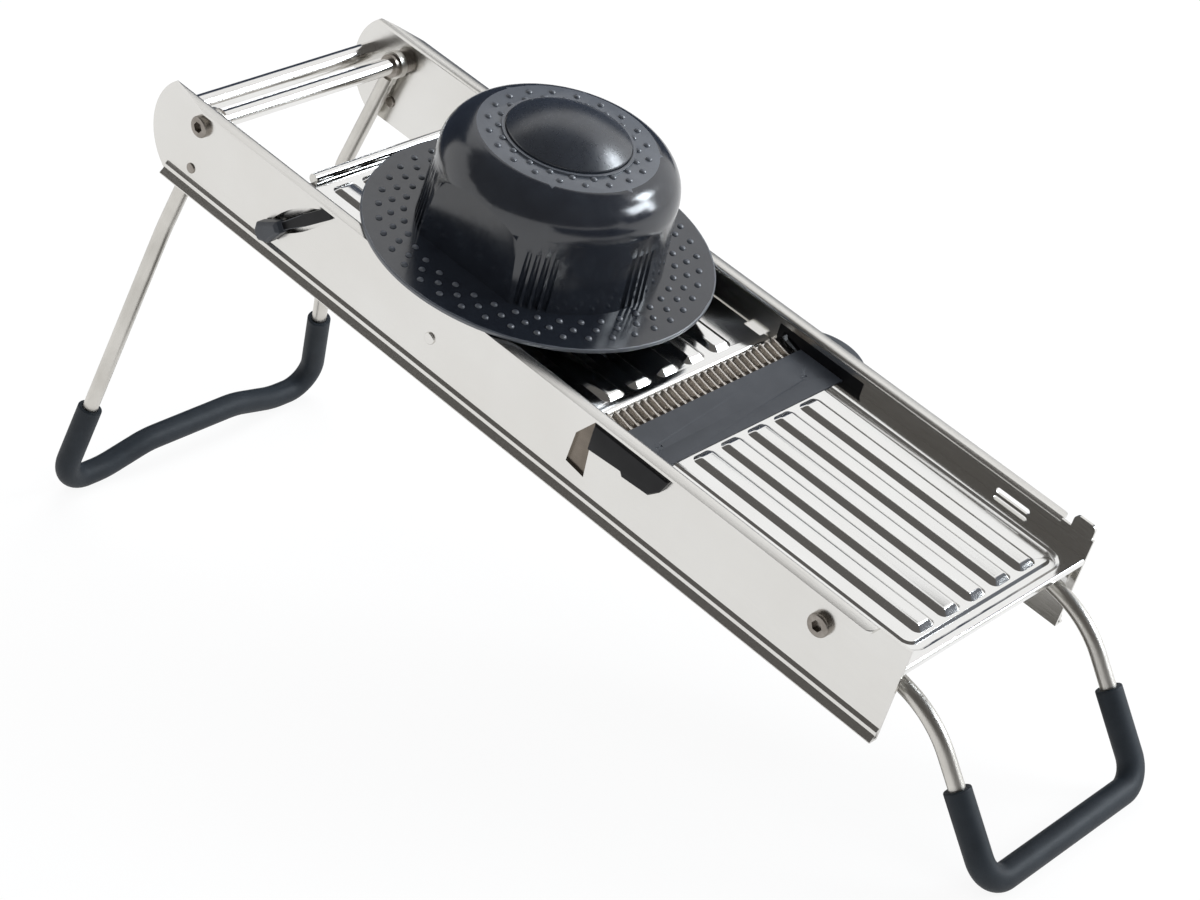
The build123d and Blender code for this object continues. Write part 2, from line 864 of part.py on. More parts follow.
def feed_plate():
    edge_x = half_width - feed_side_gap
    nose_y = feed_start_y + feed_nose_radius
    roll_y = feed_end_y - feed_roll_radius
    plate = slab(-edge_x, edge_x, nose_y, roll_y, feed_z - plate_sheet, feed_z)
    plate += rod(nose_y, feed_z - feed_nose_radius, feed_nose_radius, -edge_x, edge_x)
    roll_z = feed_z - plate_sheet + feed_roll_radius
    plate += rod(roll_y, roll_z, feed_roll_radius, -feed_roll_half_length, feed_roll_half_length)
    notch = slab(
        edge_x - feed_notch_width, edge_x, feed_notch_start_y, feed_notch_end_y,
        feed_z - plate_sheet, feed_z
    )
    for cut in far_and_near(notch):
        plate -= cut
    recess_x = -half_width + recess_depth + feed_recess_clearance
    plate -= slab(
        -half_width, recess_x, recess_high_tip[0] - feed_recess_margin_y, feed_end_y,
        feed_z - plate_sheet, feed_z
    )
    return add_beads(plate, feed_bead_start_y, feed_bead_end_y, feed_z)


def along_slide(point, distance):
    return (point[0] + slide_dir[0] * distance, point[1] + slide_dir[1] * distance)


def slide_slot(point, radius, start, end):
    """A round-ended slot along the feed plate's slide, from one offset to another."""
    middle = along_slide(point, (start + end) / 2)
    length = abs(end - start)
    slot = SlotCenterToCenter(length, 2 * radius)
    return Pos(*middle) * Rot(0, 0, 180 - feed_slide_angle) * slot


def crank_pin_place():
    angle = radians(crank_start_angle)
    return (lever_y + lever_crank_radius * cos(angle), lever_z + lever_crank_radius * sin(angle))


def feed_bracket():
    """The far-side bracket: a web with an ear over the spreader rod and one over the lever's crank."""
    outer_x = half_width - bracket_inset
    inner_x = outer_x - bracket_sheet
    top = feed_z - plate_sheet
    web_z = top - bracket_web_depth
    pin_y, pin_z = crank_pin_place()
    rod_low = along_slide((spreader_y, spreader_z), -feed_travel)
    shaft_low = along_slide((lever_y, lever_z), -feed_travel)
    ear = spreader_radius + bracket_margin
    shaft_ear = lever_shaft_radius + bracket_margin
    roll_start_y = feed_end_y - 2 * feed_roll_radius - side_play
    web = outline([
        (bracket_start_y, top),
        (bracket_start_y, web_z),
        (rod_low[0] - ear, rod_low[1]),
        (rod_low[0] - ear / 2, rod_low[1] - ear),
        (rod_low[0] + ear / 2, rod_low[1] - ear),
        (rod_low[0] + ear, rod_low[1]),
        (rod_low[0] + 2 * ear, web_z),
        (shaft_low[0] - 2 * shaft_ear, web_z),
        (shaft_low[0] - shaft_ear, shaft_low[1]),
        (shaft_low[0] - shaft_ear / 2, shaft_low[1] - shaft_ear / 2),
        (pin_y, shaft_low[1] - shaft_ear / 2),
        (pin_y + 2 * bracket_margin, pin_z - bracket_margin),
        (pin_y + 2 * bracket_margin, pin_z + bracket_margin),
        (roll_start_y, top - 2 * feed_roll_radius),
        (roll_start_y, top),
    ])
    plate = across(web, inner_x, outer_x)
    plate += slab(
        inner_x - bracket_flange, outer_x, bracket_start_y, bracket_flange_end_y, top - bracket_sheet, top
    )
    slot_width = spreader_radius + running_fit
    plate -= across(slide_slot((spreader_y, spreader_z), slot_width, 0, -feed_travel), inner_x, outer_x)
    shaft_space = lever_shaft_radius + 4 * running_fit
    plate -= across(slide_slot((lever_y, lever_z), shaft_space, 0, -2 * feed_travel), inner_x, outer_x)
    reach = lever_crank_radius * (1 - cos(radians(lever_turn / 2)))
    pin_middle = (pin_y + slide_normal[0] * reach / 2, pin_z + slide_normal[1] * reach / 2)
    pin_slot = SlotCenterToCenter(reach + 2 * running_fit, 2 * (crank_pin_radius + 2 * running_fit))
    pin_slot = Pos(*pin_middle) * Rot(0, 0, 90 - feed_slide_angle) * pin_slot
    plate -= across(pin_slot, inner_x, outer_x)
    return plate


def crank_x():
    """Inner and outer face of the far crank; the near one mirrors it."""
    outer = half_width - recess_depth - crank_gap - bush_flange_thickness
    return outer - crank_thickness, outer


def lift_cranks():
    inner, outer = crank_x()
    plate = Pos(lever_crank_radius / 2, 0) * SlotCenterToCenter(lever_crank_radius, crank_width)
    plate -= Circle(lever_shaft_radius)
    plate -= Pos(lever_crank_radius, 0) * Circle(crank_pin_radius)
    plate = Pos(lever_y, lever_z) * Rot(0, 0, crank_start_angle) * plate
    return group(far_and_near(across(plate, inner, outer)))


def crank_pins():
    _, crank_outer = crank_x()
    pin_end = half_width - bracket_inset - bracket_sheet - crank_pin_overhang
    return group(far_and_near(rod(*crank_pin_place(), crank_pin_radius, pin_end, crank_outer)))


def lever_hub_x():
    return -wall_outer - lever_gap


def lever_shaft():
    start = lever_hub_x() - lever_hub_height / 2
    end = wall_outer + lever_gap + lever_nut_height
    return rod(lever_y, lever_z, lever_shaft_radius, start, end)


def thickness_lever():
    """The faceted hub and the flat arm that points up towards the blade."""
    neck = [(lever_arm_root, -lever_hub_neck_half), (lever_arm_root, lever_hub_neck_half)]
    hub_outline = outline([lever_hub_crown] + lever_hub_corners + neck)
    arm_outline = outline([
        (0, lever_arm_root_width / 2),
        (lever_arm_widest, lever_arm_tip_width / 2),
        (lever_arm_length, lever_arm_tip_width / 2),
        (lever_arm_length, -lever_arm_tip_width / 2),
        (lever_arm_widest, -lever_arm_tip_width / 2),
        (0, -lever_arm_root_width / 2),
    ])
    arm_outline = fillet(arm_outline.vertices().sort_by(Axis.X)[-2:], lever_arm_tip_radius)
    hub_outer = lever_hub_x() - lever_hub_height
    place = Pos(lever_y, lever_z) * Rot(0, 0, lever_arm_angle)
    hub = across(place * hub_outline, hub_outer, lever_hub_x())
    hub = chamfer(hub.faces().sort_by(Axis.X)[0].edges(), lever_hub_chamfer)
    arm = across(place * arm_outline, lever_hub_x() - lever_arm_thickness, lever_hub_x())
    socket = rod(lever_y, lever_z, lever_shaft_radius, hub_outer + lever_hub_height / 2, lever_hub_x())
    return hub + arm - socket


def lever_end_nut():
    start = wall_outer + lever_gap
    face = RegularPolygon(lever_nut_radius, 6) - Circle(lever_shaft_radius)
    return across(Pos(lever_y, lever_z) * face, start, start + lever_nut_height)


def leg_eye(pivot, toward, radius, inner_x, outer_x, wire_radius):
    """A flattened wire end: a disc and a neck that runs on to the round wire."""
    y, z = pivot
    step = heading(pivot, toward)
    side = (-step[1] * wire_radius, step[0] * wire_radius)
    reach_y = y + step[0] * (radius + wire_radius)
    reach_z = z + step[1] * (radius + wire_radius)
    neck = outline([
        (y + side[0], z + side[1]),
        (reach_y + side[0], reach_z + side[1]),
        (reach_y - side[0], reach_z - side[1]),
        (y - side[0], z - side[1]),
    ])
    return across(Pos(y, z) * Circle(radius) + neck, inner_x, outer_x)


def with_eyes(wire, eye, bore):
    """Join an eye to each end of a leg's wire and open its bore."""
    for side in far_and_near(eye):
        wire += side
    for side in far_and_near(bore):
        wire -= side
    return wire


def both_sides(points):
    """Carry a far-side route over to the near side, so that it makes one symmetric path."""
    return points + [(-x, y, z) for x, y, z in reversed(points)]


def rear_leg_points():
    wire_x = half_width - rear_wire_inset
    step = heading((rear_pivot_y, rear_pivot_z), (rear_bend_y, rear_bend_z))
    start = rear_eye_radius + wire_start_gap
    return [
        (wire_x, rear_pivot_y + step[0] * start, rear_pivot_z + step[1] * start),
        (wire_x, rear_bend_y, rear_bend_z),
        (rear_foot_half_span, rear_foot_y, rear_foot_z),
        (rear_flat_half_width, rear_foot_y, rear_foot_z),
        (rear_arch_half_width, rear_foot_y, rear_foot_z + rear_arch_height),
    ]


def rear_leg_wire():
    radii = [rear_bend_radius, rear_foot_corner_radius, rear_arch_radius, rear_arch_radius]
    path = FilletPolyline(*both_sides(rear_leg_points()), radius=radii + radii[::-1])
    outer_x = rear_eye_outer_x()
    inner_x = outer_x - rear_eye_thickness
    pivot = (rear_pivot_y, rear_pivot_z)
    eye = leg_eye(pivot, (rear_bend_y, rear_bend_z), rear_eye_radius, inner_x, outer_x, rear_wire_radius)
    bore = rod(*pivot, axle_radius + running_fit, inner_x, outer_x)
    return with_eyes(tube_along(path, rear_wire_radius), eye, bore)


def rear_leg_sleeve():
    _, bend, corner, flat_end, arch = rear_leg_points()
    share = rear_sleeve_height / (bend[2] - corner[2])
    start = tuple(c + (b - c) * share for b, c in zip(bend, corner))
    radii = [rear_foot_corner_radius, rear_arch_radius, rear_arch_radius]
    path = FilletPolyline(*both_sides([start, corner, flat_end, arch]), radius=radii + radii[::-1])
    return tube_along(path, rear_sleeve_radius) - tube_along(path, rear_wire_radius)


def front_leg_points():
    wire_x = half_width - front_wire_inset
    step = heading((front_pivot_y, front_pivot_z), (front_bend_y, front_bend_z))
    start = front_eye_radius + wire_start_gap
    return [
        (wire_x, front_pivot_y + step[0] * start, front_pivot_z + step[1] * start),
        (wire_x, front_bend_y, front_bend_z),
        (wire_x, front_foot_y, front_foot_z),
    ]


def front_leg_wire():
    radii = [front_bend_radius, front_foot_corner_radius]
    path = FilletPolyline(*both_sides(front_leg_points()), radius=radii + radii[::-1])
    inner_x, outer_x = front_eye_x()
    pivot = (front_pivot_y, front_pivot_z)
    bend = (front_bend_y, front_bend_z)
    eye = leg_eye(pivot, bend, front_eye_radius, inner_x, outer_x, front_wire_radius)
    bore = rod(*pivot, front_bolt_radius + running_fit, inner_x, outer_x)
    return with_eyes(tube_along(path, front_wire_radius), eye, bore)


def front_leg_sleeve():
    _, bend, corner = front_leg_points()
    share = front_sleeve_height / (bend[2] - corner[2])
    start = tuple(c + (b - c) * share for b, c in zip(bend, corner))
    radii = [front_foot_corner_radius, front_foot_corner_radius]
    path = FilletPolyline(*both_sides([start, corner]), radius=radii)
    return tube_along(path, front_sleeve_radius) - tube_along(path, front_wire_radius)


def flat_window(x, grow):
    """The arch-topped region beside the crown where a flat is cut at the given X."""
    half = crown_flat_half_width + grow
    side_z = crown_flat_side_z
    top_z = crown_flat_top_z + grow
    low_y, high_y = pusher_y - half, pusher_y + half
    edge = Polyline((low_y, side_z), (low_y, 0), (high_y, 0), (high_y, side_z))
    edge += ThreePointArc((high_y, side_z), (pusher_y, top_z), (low_y, side_z))
    return across(make_face(edge), x, crown_foot_radius + crown_wall)


def crown_solid(inset):
    """The crown as a solid of revolution, drawn in by the given wall."""
    drop = inset * crown_inner_share
    top_z = crown_top_z - inset
    foot = (crown_foot_radius - inset, 0)
    side = (crown_side_radius - inset, crown_side_z)
    shoulder = (crown_shoulder_radius - inset, crown_shoulder_z - drop)
    rim = (crown_top_radius - drop, top_z)
    edge = Polyline(rim, (0, top_z), (0, 0), foot, side)
    edge += ThreePointArc(side, shoulder, rim)
    solid = Pos(0, pusher_y, 0) * revolve(Plane.XZ * make_face(edge), Axis.Z)
    for window in far_and_near(flat_window(crown_flat_x - inset, inset)):
        solid -= window
    return solid


def grip_cutters():
    """Upright half-round grooves in groups round the crown's side."""
    cutters = []
    for group_angle in grip_angles:
        for i in range(grip_grooves):
            angle = group_angle + (i - (grip_grooves - 1) / 2) * grip_groove_step
            x = grip_groove_centre * cos(radians(angle))
            y = grip_groove_centre * sin(radians(angle))
            groove = Cylinder(grip_groove_radius, grip_groove_top_z, align=min_up)
            cutters.append(Pos(x, pusher_y + y, brim_thickness) * groove)
    return cutters


def pusher_body():
    brim = Pos(0, pusher_y, rail_gap) * Cylinder(brim_radius, brim_thickness - rail_gap, align=min_up)
    brim = fillet(brim.edges().filter_by(GeomType.CIRCLE), brim_rounding)
    shell = raised(Pos(0, pusher_y) * Circle(crown_foot_radius), rail_gap, brim_thickness) + brim
    crown = crown_solid(0)
    crown -= slab(-brim_radius, brim_radius, pusher_y - brim_radius, pusher_y + brim_radius, -1, rail_gap)
    shell += crown
    for cutter in grip_cutters():
        shell -= cutter
    shell -= crown_solid(crown_wall)
    boss_z = crown_top_z - crown_wall - boss_depth
    boss = Cylinder(boss_radius, boss_depth + crown_wall / 2, align=min_up)
    shell += Pos(0, pusher_y, boss_z) * boss
    ring_outer = Circle(knob_ring_radius) - Circle(knob_ring_radius - knob_ring_width)
    shell += raised(Pos(0, pusher_y) * ring_outer, crown_top_z, crown_top_z + knob_ring_height)
    stem_hole = Cylinder(stem_radius + stem_gap, boss_depth + 2 * crown_wall, align=min_up)
    shell -= Pos(0, pusher_y, boss_z) * stem_hole
    runner_outer = half_width - runner_gap
    runner = slab(
        runner_outer - runner_thickness, runner_outer,
        pusher_y - runner_half_length, pusher_y + runner_half_length,
        -runner_height, brim_thickness / 2
    )
    for side in far_and_near(runner):
        shell += side
    return shell


def plunger_knob():
    """A low dome cut from a sphere, on a short upright lip."""
    bottom = crown_top_z + knob_gap
    rise = knob_top_z - bottom - knob_lip_height
    dome_radius = (knob_radius ** 2 + rise ** 2) / (2 * rise)
    body = Pos(0, 0, bottom) * Cylinder(knob_radius, knob_top_z - bottom, align=min_up)
    body &= Pos(0, 0, knob_top_z - dome_radius) * Sphere(dome_radius)
    return Pos(0, pusher_y, 0) * body


def plunger_stem():
    start = press_plate_z + press_plate_thickness
    length = crown_top_z + knob_gap - start
    stem = Pos(0, pusher_y, start) * Cylinder(stem_radius, length, align=min_up)
    thread = plunger_screw_length - press_plate_thickness
    return stem - Pos(0, pusher_y, start) * Cylinder(plunger_screw_radius, thread, align=min_up)


def plunger_plate():
    plate = Cylinder(press_plate_radius, press_plate_thickness, align=min_up)
    plate -= Cylinder(plunger_screw_radius, press_plate_thickness, align=min_up)
    return Pos(0, pusher_y, press_plate_z) * plate


def holder_pins():
    pins = []
    for ring_radius, count in zip(pin_ring_radii, pin_ring_counts):
        for i in range(count):
            angle = radians(360 / count * i)
            x = ring_radius * cos(angle)
            y = pusher_y + ring_radius * sin(angle)
            shank = Pos(x, y, press_plate_z - pin_length + pin_point) * Cylinder(
                pin_radius, pin_length - pin_point, align=min_up
            )
            point = Pos(x, y, press_plate_z - pin_length) * Cone(
                pin_tip_radius, pin_radius, pin_point, align=min_up
            )
            pins.append(shank + point)
    return group(pins)


def plunger_screw():
    head = Pos(0, pusher_y, press_plate_z - plunger_screw_head_height) * Cylinder(
        plunger_screw_head_radius, plunger_screw_head_height, align=min_up
    )
    return head + Pos(0, pusher_y, press_plate_z) * Cylinder(
        plunger_screw_radius, plunger_screw_length, align=min_up
    )


pieces = {
    "near_side_wall": near_side_wall(),
    "far_side_wall": far_side_wall(),
    "handle_bar": handle_bar(),
    "rear_leg_axle": rear_leg_axle(),
    "rear_axle_screws": rear_axle_screws(),
    "rear_leg_spacers": rear_leg_spacers(),
    "leg_detent_rivets": leg_detent_rivets(),
    "spreader_rod": spreader_rod(),
    "spreader_rivets": spreader_rivets(),
    "landing_plate": landing_plate(),
    "front_pivot_bolts": front_pivot_bolts(),
    "front_pivot_spacers": front_pivot_spacers(),
    "front_pivot_nuts": front_pivot_nuts(),
    "near_cassette_guide": near_cassette_guide(),
    "far_cassette_guide": far_cassette_guide(),
    "cassette_crossbar": cassette_crossbar(),
    "lever_bushes": lever_bushes(),
    "feed_plate": feed_plate(),
    "far_feed_bracket": feed_bracket(),
    "near_feed_bracket": mirror(feed_bracket(), about=Plane.YZ),
    "thickness_lever": thickness_lever(),
    "lever_shaft": lever_shaft(),
    "lift_cranks": lift_cranks(),
    "crank_pins": crank_pins(),
    "lever_end_nut": lever_end_nut(),
    "cassette_body": cassette_body(),
    "slicing_blade": slicing_blade(),
    "julienne_comb": julienne_comb(),
    "cassette_screws": cassette_screws(),
    "rear_leg_wire": rear_leg_wire(),
    "rear_leg_sleeve": rear_leg_sleeve(),
    "front_leg_wire": front_leg_wire(),
    "front_leg_sleeve": front_leg_sleeve(),
    "pusher_body": pusher_body(),
    "plunger_knob": plunger_knob(),
    "plunger_stem": plunger_stem(),
    "plunger_plate": plunger_plate(),
    "holder_pins": holder_pins(),
    "plunger_screw": plunger_screw(),
}

# Tilt the deck, then put the origin on the floor under the middle of the whole slicer
tilted = {name: Rot(deck_tilt, 0, 0) * piece for name, piece in pieces.items()}
boxes = [piece.bounding_box() for piece in tilted.values()]
back_y = max(box.max.Y for box in boxes)
front_y = min(box.min.Y for box in boxes)
set_down = Pos(0, -(front_y + back_y) / 2, -floor_level - sole_flat)

os.makedirs("parts", exist_ok=True)
for name, piece in tilted.items():
    placed = set_down * piece
    if name.endswith("sleeve"):
        size = 2 * (back_y - front_y)
        placed -= Box(size, size, size, align=(Align.CENTER, Align.CENTER, Align.MAX))
    export_step(placed, f"parts/{name}.step")
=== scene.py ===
# %% [markdown]
# # A manual vegetable slicer, dressed for its portrait
# The slicer is a long tray of polished steel sheet on two bent-wire legs, with a dark plastic food
# pusher standing on its rails. Its exact shapes come from a CAD frame. This notebook gives those shapes
# their finishes, rounds the edges that a press or a mould leaves round, and adds the small moulded dots.
# The first cell brings the frame in. Every later piece is placed in the same metres as the frame, so
# nothing has to be fitted by eye.

# %% Load the frame
import json
from math import radians, sqrt

import bmesh
import bpy
from mathutils import Matrix, Vector

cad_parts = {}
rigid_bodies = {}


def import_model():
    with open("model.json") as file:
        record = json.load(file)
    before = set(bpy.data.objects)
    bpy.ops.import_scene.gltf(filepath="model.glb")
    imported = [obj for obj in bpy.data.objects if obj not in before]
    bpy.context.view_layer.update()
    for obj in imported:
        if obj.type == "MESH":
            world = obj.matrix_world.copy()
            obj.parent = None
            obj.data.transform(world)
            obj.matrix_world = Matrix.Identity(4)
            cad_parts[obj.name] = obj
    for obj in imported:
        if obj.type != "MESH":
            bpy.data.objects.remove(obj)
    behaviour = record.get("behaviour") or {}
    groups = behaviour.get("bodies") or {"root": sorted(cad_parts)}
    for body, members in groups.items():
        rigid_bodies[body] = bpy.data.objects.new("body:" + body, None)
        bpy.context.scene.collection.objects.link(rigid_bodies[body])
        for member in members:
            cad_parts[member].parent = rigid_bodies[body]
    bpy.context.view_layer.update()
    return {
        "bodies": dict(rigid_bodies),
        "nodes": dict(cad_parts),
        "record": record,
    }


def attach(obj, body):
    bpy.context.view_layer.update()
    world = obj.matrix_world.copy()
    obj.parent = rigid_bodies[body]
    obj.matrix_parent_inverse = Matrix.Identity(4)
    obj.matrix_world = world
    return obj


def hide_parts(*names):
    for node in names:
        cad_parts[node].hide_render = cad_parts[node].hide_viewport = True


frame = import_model()
scene = bpy.context.scene

# %% [markdown]
# The deck of the slicer is tilted, and it was drawn square to itself: X across, Y up the deck, Z away
# from it, with zero on top of the rails. Working in that frame is far easier than working in the tilted
# one, so this cell gives one helper matrix that turns deck millimetres into scene metres, and its
# opposite, which tells where on the deck a face of a finished mesh lies.

# %% The deck's own frame
MM = 0.001
DECK_TILT = radians(17.0)
DECK_ORIGIN = Vector((0.0, -0.2082894, 0.0924055))

deck_to_scene = Matrix.Translation(DECK_ORIGIN) @ Matrix.Rotation(DECK_TILT, 4, "X") @ Matrix.Scale(MM, 4)
scene_to_deck = deck_to_scene.inverted()
print("the deck's zero, in metres:", [round(side, 4) for side in deck_to_scene @ Vector((0, 0, 0))])

# %% [markdown]
# The portrait is taken with a long lens from the front left and above. A lens of about 90 mm on a
# 36 mm sensor keeps the long rails almost parallel. The camera's place and turn were solved from the
# rails, the cross members and the pusher's round brim, so they are plain numbers here.

# %% Camera
LENS_MM = 90.21
SENSOR_MM = 36.0
CAMERA_PLACE = (-0.830409, -0.724716, 0.620504)
CAMERA_TURN = (63.8546, -1.5374, -48.5285)

camera_data = bpy.data.cameras.new("portrait_camera")
camera_data.lens = LENS_MM
camera_data.sensor_width = SENSOR_MM
camera = bpy.data.objects.new("portrait_camera", camera_data)
camera.location = CAMERA_PLACE
camera.rotation_euler = [radians(turn) for turn in CAMERA_TURN]
scene.collection.objects.link(camera)
scene.camera = camera
print("camera to the middle of the floor:", round(camera.location.length, 3), "m")

# %% [markdown]
# Polished steel has almost no colour of its own: it shows what stands around it. The world is white to
# the camera and in reflections, and a plain soft light to everything else. One strong white world could
# do both, but it would flatten every dull surface. Light Path tells which kind of ray is looking.

# %% World
SOFT_LIGHT = 0.62
SOFT_LIGHT_COLOUR = (0.95, 0.97, 1.0, 1.0)
WHITE = (1.0, 1.0, 1.0, 1.0)


def seen_directly(tree):
    """1 for rays that look at a surface straight, in a mirror or through glass, 0 for soft light."""
    light_path = tree.nodes.new("ShaderNodeLightPath")
    seen = light_path.outputs["Is Camera Ray"]
    for other_look in ("Is Glossy Ray", "Is Transmission Ray"):
        either = tree.nodes.new("ShaderNodeMath")
        either.operation = "MAXIMUM"
        tree.links.new(seen, either.inputs[0])
        tree.links.new(light_path.outputs[other_look], either.inputs[1])
        seen = either.outputs[0]
    return seen


scene.view_settings.view_transform = "Standard"
world = bpy.data.worlds.new("studio")
scene.world = world
world.use_nodes = True
tree = world.node_tree
tree.nodes.clear()
soft = tree.nodes.new("ShaderNodeBackground")
soft.inputs["Color"].default_value = SOFT_LIGHT_COLOUR
soft.inputs["Strength"].default_value = SOFT_LIGHT
white = tree.nodes.new("ShaderNodeBackground")
white.inputs["Color"].default_value = WHITE
mix = tree.nodes.new("ShaderNodeMixShader")
output = tree.nodes.new("ShaderNodeOutputWorld")
tree.links.new(seen_directly(tree), mix.inputs[0])
tree.links.new(soft.outputs[0], mix.inputs[1])
tree.links.new(white.outputs[0], mix.inputs[2])
tree.links.new(mix.outputs[0], output.inputs["Surface"])
print("soft light of the world:", SOFT_LIGHT)

# %% [markdown]
# The floor is one large pale square. It is mostly white where it is seen, as the world is, so no
# horizon shows. The rest of it is an ordinary pale surface that catches light, so the slicer keeps a
# faint shadow and doesn't float.

# %% Floor
FLOOR_HALF = 6.0
FLOOR_COLOUR = (0.88, 0.88, 0.88, 1.0)
FLOOR_WHITE_SHARE = 0.9
FLOOR_CORNERS = [(-1, -1), (1, -1), (1, 1), (-1, 1)]

floor_mesh = bpy.data.meshes.new("floor")
floor_points = [(x * FLOOR_HALF, y * FLOOR_HALF, 0.0) for x, y in FLOOR_CORNERS]
floor_mesh.from_pydata(floor_points, [], [(0, 1, 2, 3)])
floor = bpy.data.objects.new("floor", floor_mesh)
scene.collection.objects.link(floor)
floor_finish = bpy.data.materials.new("pale_floor")
floor_finish.use_nodes = True
tree = floor_finish.node_tree
tree.nodes.clear()
pale = tree.nodes.new("ShaderNodeBsdfDiffuse")
pale.inputs["Color"].default_value = FLOOR_COLOUR
glow = tree.nodes.new("ShaderNodeEmission")
share = tree.nodes.new("ShaderNodeMath")
share.operation = "MULTIPLY"
share.inputs[1].default_value = FLOOR_WHITE_SHARE
mix = tree.nodes.new("ShaderNodeMixShader")
output = tree.nodes.new("ShaderNodeOutputMaterial")
tree.links.new(seen_directly(tree), share.inputs[0])
tree.links.new(share.outputs[0], mix.inputs[0])
tree.links.new(pale.outputs[0], mix.inputs[1])
tree.links.new(glow.outputs[0], mix.inputs[2])
tree.links.new(mix.outputs[0], output.inputs["Surface"])
floor_mesh.materials.append(floor_finish)
print("floor:", 2 * FLOOR_HALF, "m square")

# %% [markdown]
# A studio that is white on every side makes steel look like paper, so photographers hang a dark cloth
# near the camera. Here it is a piece of a large dome: a ball of small faces, cut off past the cloth's
# edge and near the floor. Only reflections see it, so it neither shades the slicer nor shows in any
# picture. It gives the pressed beads, the handle tube and the glossy crown their dark bands.

# %% Dark cloth
CLOTH_RADIUS = 2.4
CLOTH_MIDDLE = Vector((-0.50, -0.45, 0.74)).normalized()
CLOTH_EDGE_COSINE = 0.40
CLOTH_HEM_HEIGHT = 0.02
CLOTH_SUBDIVISIONS = 5
CLOTH_TONE = (0.115, 0.11, 0.105)


def mirror_only(thing, name, tone, blocks_lamps=False):
    """Make a stage piece of one plain tone that nothing but a reflection can see. One that blocks
    the lamps also keeps their pictures out of the metal behind it."""
    paint = bpy.data.materials.new(name)
    paint.use_nodes = True
    paint.node_tree.nodes.clear()
    plain = paint.node_tree.nodes.new("ShaderNodeEmission")
    plain.inputs["Color"].default_value = (*tone, 1.0)
    output = paint.node_tree.nodes.new("ShaderNodeOutputMaterial")
    paint.node_tree.links.new(plain.outputs[0], output.inputs["Surface"])
    thing.data.materials.append(paint)
    thing.visible_camera = False
    thing.visible_diffuse = False
    thing.visible_shadow = blocks_lamps
    thing.visible_transmission = False


def off_the_cloth(vertex):
    """True for a vertex of the ball that is past the cloth's edge or below its hem."""
    past_edge = vertex.co.normalized().dot(CLOTH_MIDDLE) < CLOTH_EDGE_COSINE
    return past_edge or vertex.co.z < CLOTH_HEM_HEIGHT


cloth_mesh = bpy.data.meshes.new("dark_cloth")
shape = bmesh.new()
bmesh.ops.create_icosphere(shape, subdivisions=CLOTH_SUBDIVISIONS, radius=CLOTH_RADIUS)
outside = [vertex for vertex in shape.verts if off_the_cloth(vertex)]
bmesh.ops.delete(shape, geom=outside, context="VERTS")
shape.to_mesh(cloth_mesh)
shape.free()
cloth = bpy.data.objects.new("dark_cloth", cloth_mesh)
scene.collection.objects.link(cloth)
mirror_only(cloth, "dark_cloth", CLOTH_TONE)
print("dark cloth faces:", len(cloth_mesh.polygons))

# %% [markdown]
# Four flat cards darken what the cloth can't reach, again for reflections only. One lies under the
# slicer, where the floor would otherwise mirror as pure white in spite of the slicer's own shade. One
# stands by the low end, and in the lamps' way too, or the ends of the beads there would turn white. A
# mat lies in front for the crown, whose front mirrors the floor. A slanted board stands far behind on
# the right, for the faces that lean that way.

# %% Cards seen in reflections
def card(name, corners, tone, blocks_lamps=False):
    """A flat card with the given corners, seen in reflections only."""
    mesh = bpy.data.meshes.new(name)
    mesh.from_pydata(corners, [], [(0, 1, 2, 3)])
    thing = bpy.data.objects.new(name, mesh)
    scene.collection.objects.link(thing)
    mirror_only(thing, name, tone, blocks_lamps)
    print(name, "tone:", tone)


SHADE = [
    (-0.055, -0.20, 0.001),
    (0.055, -0.20, 0.001),
    (0.055, 0.16, 0.001),
    (-0.055, 0.16, 0.001),
]
LOW_END_CARD = [
    (0.135, -0.418, 0.180),
    (0.255, -0.255, 0.180),
    (0.204, -0.220, 0.271),
    (0.090, -0.383, 0.271),
]
FRONT_MAT = [
    (-1.75, -1.45, 0.002),
    (0.36, -2.30, 0.002),
    (0.26, -0.42, 0.002),
    (-0.42, -0.40, 0.002),
]
DARK_ROOM = [
    (-0.20, 2.60, -0.02),
    (2.60, 0.55, -0.02),
    (2.60, 0.55, 1.10),
    (-0.20, 2.60, 3.00),
]
card("shade_under_slicer", SHADE, tone=(0.10, 0.095, 0.085))
card("card_by_low_end", LOW_END_CARD, tone=(0.15, 0.16, 0.18), blocks_lamps=True)
card("mat_in_front", FRONT_MAT, tone=(0.05, 0.055, 0.07))
card("dark_room_behind", DARK_ROOM, tone=(0.045, 0.055, 0.08))

# %% [markdown]
# Four soft lamps do the rest. A wide one high on the far right and a weak one in front only light the
# pieces: they leave no picture of themselves. Two smaller bluish ones on the right do show, as the
# bright patches on the crown's shoulder and on the knob. Area lamps are used rather than spots, because
# the picture of a lamp in gloss has the lamp's own outline and size.

# %% Lamps
AIM = Vector((0.0, 0.0, 0.12))
PLAIN_WHITE = (1.0, 1.0, 1.0)
WINDOW_BLUE = (0.86, 0.93, 1.0)


def soft_lamp(name, toward, distance, width, height, power, shows, colour=PLAIN_WHITE):
    """A rectangular lamp in a direction from the slicer's middle, facing it. One that doesn't
    show lights the pieces but leaves no picture of itself in them."""
    data = bpy.data.lights.new(name, "AREA")
    data.shape = "RECTANGLE"
    data.size = width
    data.size_y = height
    data.energy = power
    data.color = colour
    lamp = bpy.data.objects.new(name, data)
    direction = Vector(toward).normalized()
    lamp.location = AIM + direction * distance
    lamp.rotation_euler = direction.to_track_quat("Z", "Y").to_euler()
    lamp.visible_glossy = shows
    scene.collection.objects.link(lamp)
    print(name, "power:", power, "shows:", shows)


